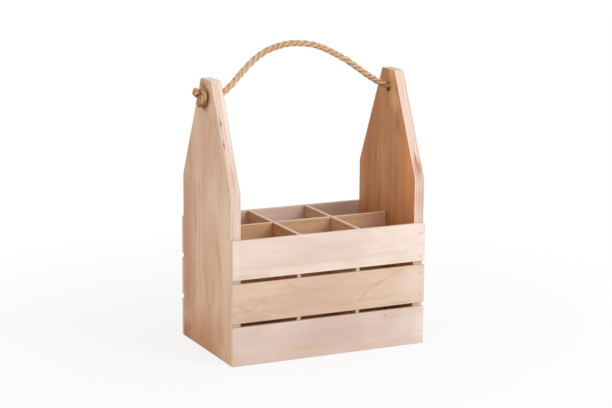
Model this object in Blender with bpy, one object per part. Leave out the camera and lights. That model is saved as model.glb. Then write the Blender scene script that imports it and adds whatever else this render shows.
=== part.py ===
"""An open wooden carrier box: two plywood end panels, slatted sides, a bottom board, a divider grid of six
cells that lifts out, and a rope handle with a stopper knot outside each end panel.

Lengths are in metres. X runs along the carrier, from the left end panel to the right one, Y runs from the
front slats to the back ones, and Z is up. The origin is on the ground, under the carrier's middle.
"""
import math

import bmesh
import bpy
from mathutils import Matrix, Vector

# Fits and cutters
TOUCH_GAP = 0.0003              # left between two pieces that rest on each other
CUT_OVERRUN = 0.002             # how far a cutter reaches past the face that it opens
FEWEST_TURNED_SIDES = 3
FINE_STEPS = 400                # along a route, before its points are spaced evenly

# End panels
CARRIER_LENGTH = 0.255          # over the outer faces of the two end panels
PANEL_THICKNESS = 0.013
PANEL_WIDTH = 0.146
PANEL_HEIGHT = 0.330
SHOULDER_HEIGHT = 0.205         # where the upright edges end and the taper starts
PANEL_TOP_WIDTH = 0.032
SHOULDER_RADIUS = 0.020
PANEL_TOP_RADIUS = 0.003
PANEL_FOOT_RADIUS = 0.001
PANEL_EDGE_EASE = 0.0005
CORNER_STEPS = 4
EASED_CORNER_LEAST_ANGLE = math.radians(40)     # shallower edges, such as along an arc, stay as they are

# Slats
SLATS_PER_SIDE = 3
SLAT_HEIGHT = 0.047
SLAT_SPACING = 0.005            # the open gap between two slats
SLAT_THICKNESS = 0.005
SLAT_EDGE_ROUND = 0.0008

# Bottom board
BOARD_THICKNESS = 0.008
BOARD_EDGE_EASE = 0.0005

# Divider grid: one long strip and two short ones, half-lapped
DIVIDER_THICKNESS = 0.005
CELLS_ALONG = 3
DIVIDER_END_CLEARANCE = 0.0008  # lets the grid slide up between the panels and the slats
LAP_CLEARANCE = 0.0003
DIVIDER_EDGE_EASE = 0.0004

# Brads, turned from head to point
BRAD_LENGTH = 0.018
BRAD_SHANK_DIAMETER = 0.0014
BRAD_HEAD_DIAMETER = 0.0024
BRAD_HEAD_THICKNESS = 0.0006
BRAD_POINT_LENGTH = 0.002
BRAD_SET_DEPTH = 0.0003         # how far a head lies below the wood's face
BRAD_CLEARANCE = 0.0003
BRAD_SIDES = 8
SHARP_ANGLE = math.radians(50)
# Where the two brads at each end of a slat go, from the lowest slat up, as shares of the slat's height
SLAT_BRAD_SHARES = ((0.34, 0.86), (0.22, 0.79), (0.13, 0.76))
# Where the brads into the bottom board go, as shares of the panel's width from its middle
BOARD_BRAD_SHARES = {"front": -0.33, "middle": 0.0, "back": 0.33}

# Rope handle
ROPE_DIAMETER = 0.0077
ROPE_HOLE_DIAMETER = 0.012
ROPE_HOLE_DROP = 0.022          # from the panel's top down to the hole's centre
ROPE_HOLE_EASE = 0.0007
ROPE_HOLE_SIDES = 32
ROPE_HOLE_LIFT = 0.0011         # how far the rope's pull holds it above the holes' axis, inside the holes
ROPE_RISE = 0.0593              # from the holes' axis up to the top of the rope's centreline
ROPE_BEVEL_RESOLUTION = 3
ROPE_POINTS = 22
# The rope's centreline between the panels' inner faces: along, as a share of half the clear span from the
# middle, and up from the holes' axis, as a share of the rise. It stands up steeply on the left.
ROPE_ROUTE_SHARES = (
    (-1.000, 0.012),
    (-0.948, 0.045),
    (-0.900, 0.118),
    (-0.820, 0.248),
    (-0.734, 0.425),
    (-0.645, 0.592),
    (-0.548, 0.747),
    (-0.436, 0.873),
    (-0.309, 0.953),
    (-0.176, 0.998),
    (-0.038, 0.993),
    (0.100, 0.951),
    (0.234, 0.865),
    (0.361, 0.744),
    (0.486, 0.614),
    (0.604, 0.462),
    (0.719, 0.307),
    (0.830, 0.172),
    (0.917, 0.081),
    (1.000, 0.025),
)

# Stopper knots: an overhand knot, drawn tight enough to press its strands thinner than the free rope
KNOT_STRAND_SPACING = 0.0064
KNOT_STRAND_DIAMETER = 0.0054
KNOT_BEVEL_RESOLUTION = 2
KNOT_POINTS_PER_STEP = 3
# The knot's centreline, in strand spacings: out from the panel, towards the front, and up. The rope comes
# out, dips, goes once round itself from below, and its tail passes out through that turn.
KNOT_ROUTE_SHARES = (
    (0.00, 0.00, 0.00),
    (0.30, 0.00, 0.00),
    (0.72, -0.03, -0.16),
    (1.12, -0.11, -0.42),
    (1.36, 0.02, -0.80),
    (1.46, 0.46, -1.10),
    (1.50, 1.00, -0.98),
    (1.52, 1.44, -0.44),
    (1.12, 1.84, 0.32),
    (0.84, 1.44, 0.94),
    (0.70, 0.60, 1.34),
    (0.62, -0.40, 1.34),
    (0.56, -1.12, 0.86),
    (0.50, -1.38, -0.05),
    (0.48, -1.02, -0.98),
    (0.48, -0.30, -1.44),
    (0.50, 0.36, -1.34),
    (0.50, 0.88, -0.76),
    (0.63, 1.07, -0.06),
    (0.88, 0.70, 0.38),
    (1.34, 0.21, 0.58),
)
# The rest of each knot's tail: the right one is cut short.
KNOT_TAIL_SHARES = {
    "left": ((1.80, 0.00, 1.12), (2.28, -0.04, 1.24)),
    "right": ((1.66, 0.04, 0.68),),
}

# Worked out from the sizes above
HALF_LENGTH = CARRIER_LENGTH / 2
HALF_SPAN = HALF_LENGTH - PANEL_THICKNESS
PANEL_CENTRE_X = HALF_LENGTH - PANEL_THICKNESS / 2
SLAT_BACK_Y = PANEL_WIDTH / 2 + TOUCH_GAP
SLAT_FACE_Y = SLAT_BACK_Y + SLAT_THICKNESS
SLAT_PITCH = SLAT_HEIGHT + SLAT_SPACING
SLATS_TOP = SLATS_PER_SIDE * SLAT_PITCH - SLAT_SPACING
GRID_SEAT_Z = BOARD_THICKNESS + TOUCH_GAP
GRID_HEIGHT = SLATS_TOP - GRID_SEAT_Z
LONG_DIVIDER_LENGTH = 2 * (HALF_SPAN - DIVIDER_END_CLEARANCE)
CROSS_DIVIDER_LENGTH = 2 * (SLAT_BACK_Y - DIVIDER_END_CLEARANCE)
CELL_PITCH = (2 * HALF_SPAN - (CELLS_ALONG - 1) * DIVIDER_THICKNESS) / CELLS_ALONG + DIVIDER_THICKNESS
NOTCH_WIDTH = DIVIDER_THICKNESS + 2 * LAP_CLEARANCE
NOTCH_DEPTH = GRID_HEIGHT / 2 + LAP_CLEARANCE
ROPE_HOLE_Z = PANEL_HEIGHT - ROPE_HOLE_DROP
ROPE_HOLE_RADIUS = ROPE_HOLE_DIAMETER / 2
BRAD_SHANK_RADIUS = BRAD_SHANK_DIAMETER / 2
BRAD_HEAD_RADIUS = BRAD_HEAD_DIAMETER / 2
SLAT_NAMES = ("lower", "middle", "upper")


def clear_scene():
    for old in list(bpy.data.objects):
        bpy.data.objects.remove(old, do_unlink=True)


def make_material(name, colour, roughness, metallic=0.0):
    material = bpy.data.materials.new(name)
    material.use_nodes = True
    shader = material.node_tree.nodes["Principled BSDF"]
    shader.inputs["Base Color"].default_value = (*colour, 1.0)
    shader.inputs["Roughness"].default_value = roughness
    shader.inputs["Metallic"].default_value = metallic
    return material


def add_object(name, data, material, location=(0, 0, 0), parent=None):
    piece = bpy.data.objects.new(name, data)
    bpy.context.scene.collection.objects.link(piece)
    piece.location = location
    piece.parent = parent
    if material is not None and not data.materials:
        data.materials.append(material)
    return piece


def add_empty(name, location):
    empty = bpy.data.objects.new(name, None)
    bpy.context.scene.collection.objects.link(empty)
    empty.location = location
    return empty


def ease_edges(piece, width, segments=1):
    bevel = piece.modifiers.new("eased_edges", "BEVEL")
    bevel.width = width
    bevel.segments = segments
    bevel.limit_method = "ANGLE"
    bevel.angle_limit = EASED_CORNER_LEAST_ANGLE


def cut(piece, cutter):
    boolean = piece.modifiers.new("cut_" + cutter.name, "BOOLEAN")
    boolean.operation = "DIFFERENCE"
    boolean.solver = "EXACT"
    boolean.object = cutter


def mark_as_cutter(cutter):
    cutter.hide_render = True
    cutter.display_type = "WIRE"


def box_mesh(name, size):
    mesh = bpy.data.meshes.new(name)
    shape = bmesh.new()
    bmesh.ops.create_cube(shape, size=1)
    bmesh.ops.scale(shape, vec=size, verts=shape.verts)
    shape.to_mesh(mesh)
    shape.free()
    return mesh


def plate_mesh(name, outline, thickness, normal_axis):
    """A flat plate: outline gives the two coordinates across the normal axis, which is 0 for X or 1 for Y."""
    mesh = bpy.data.meshes.new(name)
    shape = bmesh.new()
    lift = Vector((0, 0, 0))
    lift[normal_axis] = thickness
    corners = []
    for across, up in outline:
        corner = Vector((across, across, up))
        corner[normal_axis] = -thickness / 2
        corners.append(shape.verts.new(corner))
    face = shape.faces.new(corners)
    swept = bmesh.ops.extrude_face_region(shape, geom=[face])
    moved = [item for item in swept["geom"] if isinstance(item, bmesh.types.BMVert)]
    bmesh.ops.translate(shape, vec=lift, verts=moved)
    bmesh.ops.recalc_face_normals(shape, faces=shape.faces)
    shape.to_mesh(mesh)
    shape.free()
    return mesh


def rounded_outline(corners, radii):
    """Points along an outline whose corners are turned into arcs of the radii given."""
    points = []
    for place, corner in enumerate(corners):
        here = Vector(corner)
        back = (Vector(corners[place - 1]) - here).normalized()
        ahead = (Vector(corners[(place + 1) % len(corners)]) - here).normalized()
        half_angle = back.angle(ahead) / 2
        centre = here + (back + ahead).normalized() * (radii[place] / math.sin(half_angle))
        from_centre = here + back * (radii[place] / math.tan(half_angle)) - centre
        turn = math.pi - 2 * half_angle
        if back.x * ahead.y - back.y * ahead.x > 0:
            turn = -turn
        for step in range(CORNER_STEPS + 1):
            angle = turn * step / CORNER_STEPS
            spun = Matrix.Rotation(angle, 2) @ from_centre
            points.append(tuple(centre + spun))
    return points


def add_turned(shape, profile, sides, placing):
    """Adds a closed turned solid to a bmesh: profile holds (radius, height) from one end to the other."""
    rings = []
    for radius, height in profile:
        if radius == 0:
            rings.append([shape.verts.new(placing @ Vector((0, 0, height)))])
            continue
        ring = []
        for side in range(sides):
            angle = 2 * math.pi * side / sides
            spot = Vector((radius * math.cos(angle), radius * math.sin(angle), height))
            ring.append(shape.verts.new(placing @ spot))
        rings.append(ring)
    for low, high in zip(rings, rings[1:]):
        for side in range(sides):
            ahead = (side + 1) % sides
            loop = [low[side % len(low)], low[ahead % len(low)]]
            loop += [high[ahead % len(high)], high[side % len(high)]]
            distinct = list(dict.fromkeys(loop))
            if len(distinct) >= FEWEST_TURNED_SIDES:
                shape.faces.new(distinct)
    for ring in (rings[0], rings[-1]):
        if len(ring) > 1:
            shape.faces.new(ring)


def turned_mesh(name, profile, sides, placings):
    mesh = bpy.data.meshes.new(name)
    shape = bmesh.new()
    for placing in placings:
        add_turned(shape, profile, sides, placing)
    bmesh.ops.recalc_face_normals(shape, faces=shape.faces)
    shape.to_mesh(mesh)
    shape.free()
    return mesh


def shade_round(mesh):
    mesh.shade_smooth()
    mesh.set_sharp_from_angle(angle=SHARP_ANGLE)


def panel_outline():
    half_foot = PANEL_WIDTH / 2
    half_top = PANEL_TOP_WIDTH / 2
    corners = (
        (-half_foot, 0),
        (half_foot, 0),
        (half_foot, SHOULDER_HEIGHT),
        (half_top, PANEL_HEIGHT),
        (-half_top, PANEL_HEIGHT),
        (-half_foot, SHOULDER_HEIGHT),
    )
    radii = (
        PANEL_FOOT_RADIUS,
        PANEL_FOOT_RADIUS,
        SHOULDER_RADIUS,
        PANEL_TOP_RADIUS,
        PANEL_TOP_RADIUS,
        SHOULDER_RADIUS,
    )
    return rounded_outline(corners, radii)


def rope_hole_profile():
    """The rope hole's cutter, with eased mouths, along the panel's thickness from its middle."""
    face = PANEL_THICKNESS / 2
    mouth = ROPE_HOLE_RADIUS + ROPE_HOLE_EASE
    return (
        (mouth + CUT_OVERRUN, -face - CUT_OVERRUN),
        (mouth, -face),
        (ROPE_HOLE_RADIUS, -face + ROPE_HOLE_EASE),
        (ROPE_HOLE_RADIUS, face - ROPE_HOLE_EASE),
        (mouth, face),
        (mouth + CUT_OVERRUN, face + CUT_OVERRUN),
    )


def build_panels(material, brad_cutter):
    mesh = plate_mesh("end_panel", panel_outline(), PANEL_THICKNESS, normal_axis=0)
    along_x = Matrix.Rotation(math.pi / 2, 4, "Y")
    hole_mesh = turned_mesh("rope_hole", rope_hole_profile(), ROPE_HOLE_SIDES, [along_x])
    for side, name in ((-1, "left"), (1, "right")):
        panel = add_object("end_panel_" + name, mesh, material, (side * PANEL_CENTRE_X, 0, 0))
        ease_edges(panel, PANEL_EDGE_EASE)
        hole_place = (side * PANEL_CENTRE_X, 0, ROPE_HOLE_Z)
        hole = add_object("rope_hole_cutter_" + name, hole_mesh, None, hole_place)
        mark_as_cutter(hole)
        cut(panel, hole)
        cut(panel, brad_cutter)


def build_board(material, brad_cutter):
    size = (2 * (HALF_SPAN - TOUCH_GAP), PANEL_WIDTH, BOARD_THICKNESS)
    board = add_object("bottom_board", box_mesh("bottom_board", size), material, (0, 0, BOARD_THICKNESS / 2))
    ease_edges(board, BOARD_EDGE_EASE)
    cut(board, brad_cutter)


def slat_centre_z(row):
    return row * SLAT_PITCH + SLAT_HEIGHT / 2


def build_slats(material, brad_cutter):
    mesh = box_mesh("slat", (CARRIER_LENGTH, SLAT_THICKNESS, SLAT_HEIGHT))
    centre_y = SLAT_BACK_Y + SLAT_THICKNESS / 2
    for side, face in ((-1, "front"), (1, "back")):
        for row, level in enumerate(SLAT_NAMES[:SLATS_PER_SIDE]):
            place = (0, side * centre_y, slat_centre_z(row))
            slat = add_object(face + "_slat_" + level, mesh, material, place)
            ease_edges(slat, SLAT_EDGE_ROUND, segments=2)
            cut(slat, brad_cutter)


def notched_outline(length, notch_places, notches_up):
    """A strip from its foot up, with half-depth notches from above or from below at the places given."""
    foot = [(-length / 2, 0)]
    top = [(length / 2, GRID_HEIGHT)]
    for place in notch_places:
        before = place - NOTCH_WIDTH / 2
        after = place + NOTCH_WIDTH / 2
        if notches_up:
            depth = GRID_HEIGHT - NOTCH_DEPTH
            top[1:1] = [(after, GRID_HEIGHT), (after, depth), (before, depth), (before, GRID_HEIGHT)]
        else:
            foot += [(before, 0), (before, NOTCH_DEPTH), (after, NOTCH_DEPTH), (after, 0)]
    return foot + [(length / 2, 0)] + top + [(-length / 2, GRID_HEIGHT)]


def cross_divider_places():
    middle = (CELLS_ALONG - 2) / 2
    return [(number - middle) * CELL_PITCH for number in range(CELLS_ALONG - 1)]


def build_dividers(material):
    seat = add_empty("divider_grid_seat", (0, 0, GRID_SEAT_Z))
    places = cross_divider_places()
    long_outline = notched_outline(LONG_DIVIDER_LENGTH, places, notches_up=True)
    long_mesh = plate_mesh("long_divider", long_outline, DIVIDER_THICKNESS, normal_axis=1)
    long_divider = add_object("long_divider", long_mesh, material, parent=seat)
    ease_edges(long_divider, DIVIDER_EDGE_EASE)
    cross_outline = notched_outline(CROSS_DIVIDER_LENGTH, [0], notches_up=False)
    cross_mesh = plate_mesh("cross_divider", cross_outline, DIVIDER_THICKNESS, normal_axis=0)
    for name, place in zip(("left", "right"), places):
        cross_divider = add_object("cross_divider_" + name, cross_mesh, material, (place, 0, 0), seat)
        ease_edges(cross_divider, DIVIDER_EDGE_EASE)


def brad_profile():
    return (
        (0, 0),
        (BRAD_HEAD_RADIUS, 0),
        (BRAD_HEAD_RADIUS, BRAD_HEAD_THICKNESS),
        (BRAD_SHANK_RADIUS, BRAD_HEAD_THICKNESS),
        (BRAD_SHANK_RADIUS, BRAD_LENGTH - BRAD_POINT_LENGTH),
        (0, BRAD_LENGTH),
    )


def brad_hole_profile():
    mouth = BRAD_HEAD_RADIUS + BRAD_CLEARANCE
    shank = BRAD_SHANK_RADIUS + BRAD_CLEARANCE
    shelf = BRAD_HEAD_THICKNESS + BRAD_CLEARANCE
    return (
        (mouth, -BRAD_SET_DEPTH - CUT_OVERRUN),
        (mouth, shelf),
        (shank, shelf),
        (shank, BRAD_LENGTH + BRAD_CLEARANCE),
    )


def brad_places():
    """Every brad's name, the place of its head and the way that it is driven."""
    places = []
    for side_y, face in ((-1, "front"), (1, "back")):
        for side_x, end in ((-1, "left"), (1, "right")):
            number = 0
            for row, shares in enumerate(SLAT_BRAD_SHARES[:SLATS_PER_SIDE]):
                for share in shares:
                    number += 1
                    height = row * SLAT_PITCH + share * SLAT_HEIGHT
                    head = (side_x * PANEL_CENTRE_X, side_y * (SLAT_FACE_Y - BRAD_SET_DEPTH), height)
                    places.append((f"brad_{face}_{end}_{number}", head, (0, -side_y, 0)))
    for side_x, end in ((-1, "left"), (1, "right")):
        for name, share in BOARD_BRAD_SHARES.items():
            head = (side_x * (HALF_LENGTH - BRAD_SET_DEPTH), share * PANEL_WIDTH, BOARD_THICKNESS / 2)
            places.append((f"board_brad_{end}_{name}", head, (-side_x, 0, 0)))
    return places


def driven_along(direction):
    return Vector(direction).to_track_quat("Z", "Y")


def build_brad_cutter():
    placings = []
    for _, head, direction in brad_places():
        placings.append(Matrix.Translation(head) @ driven_along(direction).to_matrix().to_4x4())
    mesh = turned_mesh("brad_holes", brad_hole_profile(), BRAD_SIDES, placings)
    cutter = add_object("brad_hole_cutter", mesh, None)
    mark_as_cutter(cutter)
    return cutter


def build_brads(material):
    mesh = turned_mesh("brad", brad_profile(), BRAD_SIDES, [Matrix.Identity(4)])
    shade_round(mesh)
    for name, head, direction in brad_places():
        brad = add_object(name, mesh, material, head)
        brad.rotation_euler = driven_along(direction).to_euler()


def smooth_point(route, place):
    """A point of the smooth curve through a route: place counts the route's steps from its start."""
    step = min(int(place), len(route) - 2)
    share = place - step
    start = route[step]
    end = route[step + 1]
    before = route[step - 1] if step > 0 else 2 * start - end
    after = route[step + 2] if step + 2 < len(route) else 2 * end - start
    straight = 2 * start + (end - before) * share
    bend = (2 * before - 5 * start + 4 * end - after) * share ** 2
    twist = (3 * start - before - 3 * end + after) * share ** 3
    return (straight + bend + twist) / 2


def tube_curve(name, points, diameter, bevel_resolution):
    curve = bpy.data.curves.new(name, "CURVE")
    curve.dimensions = "3D"
    curve.bevel_depth = diameter / 2
    curve.bevel_resolution = bevel_resolution
    curve.use_fill_caps = True
    spline = curve.splines.new("POLY")
    spline.points.add(len(points) - 1)
    for spot, point in zip(spline.points, points):
        spot.co = (*point, 1)
    return curve


def evenly_spaced(route, count):
    """Points at even steps along the smooth curve through a route, with its two ends."""
    last = len(route) - 1
    fine = [smooth_point(route, last * step / FINE_STEPS) for step in range(FINE_STEPS + 1)]
    run = [0.0]
    for here, ahead in zip(fine, fine[1:]):
        run.append(run[-1] + (ahead - here).length)
    points = []
    for number in range(count):
        wanted = run[-1] * number / (count - 1)
        nearest = min(range(len(fine)), key=lambda step: abs(run[step] - wanted))
        points.append(fine[nearest])
    return points


def rope_points():
    """From one panel's outer face to the other's, square to both, measured from the holes' axis."""
    free = [Vector((along * HALF_SPAN, 0, up * ROPE_RISE)) for along, up in ROPE_ROUTE_SHARES]
    lift = Vector((0, 0, ROPE_HOLE_LIFT))
    held = Vector((PANEL_CENTRE_X, 0, 0))
    end = Vector((HALF_LENGTH, 0, 0))
    route = [lift - held] + free + [lift + held]
    return [lift - end] + evenly_spaced(route, ROPE_POINTS) + [lift + end]


def knot_points(tail_shares):
    """A knot turned as the left one is, measured from the middle of its hole at the panel's outer face."""
    route = []
    for out, front, up in KNOT_ROUTE_SHARES + tail_shares:
        spot = Vector((-out, -front, up)) * KNOT_STRAND_SPACING
        route.append(spot - Vector((TOUCH_GAP, 0, 0)))
    count = KNOT_POINTS_PER_STEP * (len(route) - 1)
    return [smooth_point(route, step / KNOT_POINTS_PER_STEP) for step in range(count + 1)]


def build_handle(material):
    axis = add_empty("handle_axis", (0, 0, ROPE_HOLE_Z))
    rope = tube_curve("rope_handle", rope_points(), ROPE_DIAMETER, ROPE_BEVEL_RESOLUTION)
    add_object("rope_handle", rope, material, parent=axis)
    for side, end in ((-1, "left"), (1, "right")):
        name = "rope_knot_" + end
        points = knot_points(KNOT_TAIL_SHARES[end])
        knot = tube_curve(name, points, KNOT_STRAND_DIAMETER, KNOT_BEVEL_RESOLUTION)
        tied = add_object(name, knot, material, (side * HALF_LENGTH, 0, 0), axis)
        tied.rotation_euler.z = math.pi * (side + 1) / 2


def main():
    clear_scene()
    plywood = make_material("plywood", (0.62, 0.42, 0.27), 0.62)
    slat_wood = make_material("slat_wood", (0.78, 0.62, 0.50), 0.58)
    board_wood = make_material("board_wood", (0.66, 0.47, 0.32), 0.62)
    divider_wood = make_material("divider_wood", (0.68, 0.50, 0.35), 0.62)
    rope_fibre = make_material("rope_fibre", (0.52, 0.33, 0.17), 0.90)
    brad_steel = make_material("brad_steel", (0.42, 0.38, 0.34), 0.45, metallic=1.0)
    brad_cutter = build_brad_cutter()
    build_panels(plywood, brad_cutter)
    build_board(board_wood, brad_cutter)
    build_slats(slat_wood, brad_cutter)
    build_dividers(divider_wood)
    build_brads(brad_steel)
    build_handle(rope_fibre)


main()
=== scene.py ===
"""The looks of the wooden carrier box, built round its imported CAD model. Lengths are in metres."""
import math
import random
from collections import namedtuple

import bmesh
import bpy
import numpy as np
from mathutils import Matrix, Vector


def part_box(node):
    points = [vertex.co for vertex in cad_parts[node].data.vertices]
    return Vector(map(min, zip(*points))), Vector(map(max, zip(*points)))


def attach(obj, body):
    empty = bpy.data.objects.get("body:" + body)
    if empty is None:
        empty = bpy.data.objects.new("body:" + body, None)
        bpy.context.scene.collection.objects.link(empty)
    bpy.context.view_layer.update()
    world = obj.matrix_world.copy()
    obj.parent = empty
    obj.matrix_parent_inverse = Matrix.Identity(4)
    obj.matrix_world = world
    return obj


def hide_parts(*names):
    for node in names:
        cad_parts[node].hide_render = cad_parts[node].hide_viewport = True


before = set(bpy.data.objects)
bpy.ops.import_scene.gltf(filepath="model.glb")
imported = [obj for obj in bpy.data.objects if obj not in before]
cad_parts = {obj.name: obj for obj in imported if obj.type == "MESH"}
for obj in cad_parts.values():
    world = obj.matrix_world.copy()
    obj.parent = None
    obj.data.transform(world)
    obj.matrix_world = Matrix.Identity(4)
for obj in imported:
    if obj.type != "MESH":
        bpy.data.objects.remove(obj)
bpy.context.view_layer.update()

# Camera
VIEW_AZIMUTH = math.radians(-25.696)
VIEW_ELEVATION = math.radians(12.045)
VIEW_ROLL = math.radians(0.474)
VIEW_DISTANCE = 2.2821
VIEW_AIM = Vector((0.0033, -0.0016, 0.1699))
SENSOR_WIDTH = 36
LENS = 110.2

# Floor and lights
FLOOR_RADIUS = 6
FLOOR_DROP = 0.0002             # below the box
FLOOR_GREY = (0.9, 0.9, 0.9, 1)
FLOOR_GLOW = 0.8               # the share of white in what the camera sees of the floor, close to the box
GLOW_SPAN = (0.2, 0.7)         # from the middle: there the floor turns all white
WHITE = (1, 1, 1, 1)
BACKDROP_LIGHT = 0.72           # the white backdrop as a light; the camera sees it at 1
KEY_SIZE = 0.9
KEY_POWER = 11
KEY_PLACE = Vector((0.75, -1.25, 0.95))
KEY_AIM = Vector((0, 0, 0.12))

# The box
HALF_LENGTH = 0.1275
HALF_SPAN = 0.1145
PANEL_THICKNESS = 0.013
PANEL_CENTRE_X = HALF_LENGTH - PANEL_THICKNESS / 2
# The end panels' outline: across, up and the corner's radius
PANEL_CORNERS = (
    (-0.073, 0, 0.001), (0.073, 0, 0.001), (0.073, 0.205, 0.02),
    (0.016, 0.33, 0.003), (-0.016, 0.33, 0.003), (-0.073, 0.205, 0.02),
)
ARC_STEPS = 10
SHARP_ANGLE = math.radians(35)
HOLE_Z = 0.308
HOLE_RADIUS = 0.006
HOLE_ROUND = 0.0008
HOLE_SIDES = 40
MOUTH_STEPS = 4
SLAT_BACK_Y = 0.0733
SLAT_THICKNESS = 0.005
SLAT_HEIGHT = 0.047
SLAT_PITCH = 0.052
BOARD_WIDTH = 0.146
BOARD_THICKNESS = 0.008
BOARD_GAP = 0.0003              # at each end
GRID_SEAT_Z = 0.0083
GRID_TOP_Z = 0.151
GRID_CLEARANCE = 0.0008
DIVIDER_THICKNESS = 0.005
CELL_PITCH = 0.078
NOTCH_WIDTH = 0.0056
LAP_GAP = 0.0003
# The edges' rounding
PANEL_ROUND = 0.0008
SLAT_ROUND = 0.0009
THIN_ROUND = 0.0006
ROUND_STEPS = 3
ROUND_ANGLE = math.radians(40)
# Brads
BRAD_HEAD_RADIUS = 0.00098
BRAD_POCKET_RADIUS = 0.00104
BRAD_SHANK_RADIUS = 0.0007
BRAD_BORE_RADIUS = 0.0008
BRAD_SET_DEPTH = 0.0003
BRAD_SIDES = 20
FILLER_PLAY = 0.00003           # between the filler and its pocket's side
FILLER_LIFT = 0.00001           # above the wood and above the brad's head
CUT_MARGIN = 0.002              # how far the cutting shapes stand out of the wood
# Where an inner ply is missing from the left panel's tapered edge: half the slit's length, and its middle
VOIDS = (
    (0.0058, (-0.1248, -0.0375, 0.2826)),
    (0.0056, (-0.1253, -0.0481, 0.2594)),
)
VOID_AIM = Vector((0, -0.057, 0.125))
VOID_RADIUS = 0.0006
VOID_STRETCH = 2.6
VOID_STEPS = 8

# Rope: the centreline's route between the panels' inner faces, (along, up from the holes' axis)
ROPE_DIAMETER = 0.0077
ROPE_ROUTE = (
    (-0.1145, 0.00071), (-0.10855, 0.00267), (-0.10305, 0.007), (-0.09389, 0.01471),
    (-0.08404, 0.0252), (-0.07385, 0.03511), (-0.06275, 0.0443), (-0.04992, 0.05177),
    (-0.03538, 0.05651), (-0.02015, 0.05918), (-0.00435, 0.05888), (0.01145, 0.05639),
    (0.02679, 0.05129), (0.04133, 0.04412), (0.05565, 0.03641), (0.06916, 0.0274),
    (0.08233, 0.01821), (0.09504, 0.0102), (0.105, 0.0048), (0.1145, 0.00148),
)
HOLE_LIFT = 0.0011              # how far the pull holds the rope above the holes' axis
# The knot's route, in strand spacings: out from the panel, towards the front, and up
KNOT_SPACING = 0.0064
KNOT_START_GAP = 0.0003
KNOT_ROUTE = (
    (0, 0, 0), (0.3, 0, 0), (0.72, -0.03, -0.16), (1.12, -0.11, -0.42),
    (1.36, 0.02, -0.8), (1.46, 0.46, -1.1), (1.5, 1, -0.98), (1.52, 1.44, -0.44),
    (1.12, 1.84, 0.32), (0.84, 1.44, 0.94), (0.7, 0.6, 1.34), (0.62, -0.4, 1.34),
    (0.56, -1.12, 0.86), (0.5, -1.38, -0.05), (0.48, -1.02, -0.98), (0.48, -0.3, -1.44),
    (0.5, 0.36, -1.34), (0.5, 0.88, -0.76), (0.63, 1.07, -0.06), (0.88, 0.7, 0.38),
    (1.34, 0.21, 0.58),
)
KNOT_TAILS = {-1: ((1.8, 0, 1.12), (2.28, -0.04, 1.24)), 1: ((1.66, 0.04, 0.68),)}
ROPE_STEP = 0.0007              # between two rings of a strand
ROPE_SMOOTHING = 12             # passes that smooth its kinks
ROPE_END_OUT = 0.0012           # the rope's own piece ends this far outside the panels
# Its thickness. Spans run outwards from the panels' outer faces, or along the rope from its own piece's ends
KNOT_DIAMETER = 0.0071
KNOT_SPAN = (0, 0.004)
TAIL_DIAMETER = 0.0104
TAIL_FLARE = 0.012
PLUGGED_DIAMETER = 0.0108       # in the holes, into which the knots are pulled
PLUG_START = (-0.0138, -0.0078)
PLUG_END = (0.0075, 0.0025)
COLLAR_DIAMETER = 0.0134        # at the holes' outer mouths
COLLAR_START = (-0.001, 0.0002)
COLLAR_END = (0.006, 0.0015)
# Strands: their radius and distance from the rope's middle are shares of its diameter, loose and squeezed
ROPE_LAY = 0.027                # one full turn of a strand
STRAND_RADIUS = (0.262, 0.352)
STRAND_OFFSET = (0.24, 0.14)
STRAND_WIDTH = 1.1
STRAND_SIDES = 22
YARNS = 7
YARN_TURN = 0.0125
YARN_RELIEF = 0.055
# Fibres
FIBRE_TAPER = 0.7
HAIR_ROOT = 0.44                # a share of the rope's diameter
HAIR_LENGTHS = (0.0012, 0.0042)
HAIR_THICKNESSES = (0.00004, 0.00007)
HAIR_HEIGHT = 0.0022            # the most that a hair stands off the rope
FRAY_FIBRES = 60                # at the cut end of a strand
FRAY_LENGTHS = (0.0005, 0.0014)
FRAY_THICKNESSES = (0.00008, 0.00016)
TIP_BULGE = 0.0004

# Marks in the wood
MARK_UNIT = 0.001               # their lengths are in millimetres
LINE_MARGIN = 0.01
LINE_WOBBLE = 0.0016
LINE_FADE = 2.4                 # how much wider a line's upper side is than its lower one


def add_object(name, data):
    piece = bpy.data.objects.new(name, data)
    bpy.context.scene.collection.objects.link(piece)
    return piece


def mesh_of(shape, name):
    mesh = bpy.data.meshes.new(name)
    shape.to_mesh(mesh)
    shape.free()
    return mesh


def shade_round(mesh):
    mesh.shade_smooth()
    mesh.set_sharp_from_angle(angle=SHARP_ANGLE)


def aimed(direction, up):
    """The rotation that turns +Z towards a direction."""
    return direction.to_track_quat("Z", up).to_matrix().to_4x4()


def add_camera():
    data = bpy.data.cameras.new("camera")
    data.sensor_width = SENSOR_WIDTH
    data.lens = LENS
    camera = add_object("camera", data)
    level = math.cos(VIEW_ELEVATION)
    back = Vector((math.sin(VIEW_AZIMUTH) * level, -math.cos(VIEW_AZIMUTH) * level, math.sin(VIEW_ELEVATION)))
    turn = (-back).to_track_quat("-Z", "Y").to_matrix().to_4x4() @ Matrix.Rotation(VIEW_ROLL, 4, "Z")
    camera.matrix_world = Matrix.Translation(VIEW_AIM + back * VIEW_DISTANCE) @ turn
    bpy.context.scene.camera = camera


def smooth_point(route, place):
    """A point of the smooth curve through a route: place counts the route's steps from its start."""
    step = min(int(place), len(route) - 2)
    share = place - step
    start = route[step]
    end = route[step + 1]
    before = route[step - 1] if step > 0 else 2 * start - end
    after = route[step + 2] if step + 2 < len(route) else 2 * end - start
    straight = 2 * start + (end - before) * share
    bend = (2 * before - 5 * start + 4 * end - after) * share ** 2
    twist = (3 * start - before - 3 * end + after) * share ** 3
    return (straight + bend + twist) / 2


def fine_curve(route, per_step=24):
    count = per_step * (len(route) - 1)
    return [smooth_point(route, step / per_step) for step in range(count + 1)]


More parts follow.
